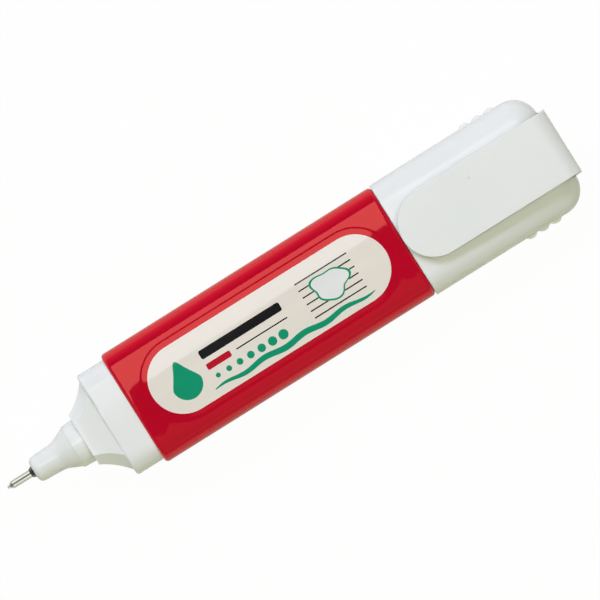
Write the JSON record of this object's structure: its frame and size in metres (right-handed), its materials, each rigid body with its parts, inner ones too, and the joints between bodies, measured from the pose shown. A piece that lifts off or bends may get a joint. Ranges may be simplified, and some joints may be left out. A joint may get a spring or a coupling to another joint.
{
  "type": "correction pen",
  "caption": "Flat squeeze-bottle correction pen with a red sleeve, a needle-valve metal tip and a white clip cap posted on its rear end.",
  "frame": {"origin": "on the resting plane, below the middle of the pen's length, with the pen lying on its back", "axes": "+X along the pen's axis from the tip to the closed end of the cap, +Z out of the label face, +Y across the pen's width"},
  "size_m": [0.1176, 0.0242, 0.0195],
  "materials": {
    "bottle_plastic": "satin moulded polyethylene",
    "sleeve_film": "glossy shrink film",
    "label_film": "semi-gloss printed label",
    "nozzle_plastic": "satin moulded plastic",
    "tip_steel": "bright turned steel",
    "needle_steel": "drawn steel wire",
    "valve_plastic": "moulded plastic",
    "spring_steel": "drawn spring wire",
    "ball_steel": "polished steel",
    "cap_plastic": "satin moulded plastic",
    "seal_plastic": "soft moulded plastic"
  },
  "bodies": {
    "pen": {"bottle": "bottle_plastic", "shrink_sleeve": "sleeve_film", "front_label": "label_film", "nozzle": "nozzle_plastic", "metal_tip": "tip_steel", "spring_retainer": "valve_plastic", "valve_spring": "spring_steel"},
    "valve": {"valve_needle": "needle_steel", "needle_holder": "valve_plastic"},
    "ball": {"mixing_ball": "ball_steel"},
    "cap": {"cap_shell": "cap_plastic", "inner_cap": "seal_plastic"},
    "clip": {"cap_clip": "cap_plastic"}
  },
  "joints": [
    {"name": "cap_pull", "type": "slide", "parent": "pen", "child": "cap", "axis": [1, 0, 0], "range_m": [0, 0.02]},
    {"name": "valve_press", "type": "slide", "parent": "pen", "child": "valve", "axis": [1, 0, 0], "range_m": [0, 0.0004], "stiffness_N_per_m": 300, "springref_m": -0.001, "deforming": ["valve_spring"]},
    {"name": "ball_roll", "type": "slide", "parent": "pen", "child": "ball", "axis": [1, 0, 0], "range_m": [-0.0246, 0.0246]},
    {"name": "clip_flex", "type": "hinge", "parent": "cap", "child": "clip", "pos_m": [0.05823, 0, 0.00975], "axis": [0, 1, 0], "range_deg": [0, 5], "stiffness_Nm_per_rad": 2}
  ]
}
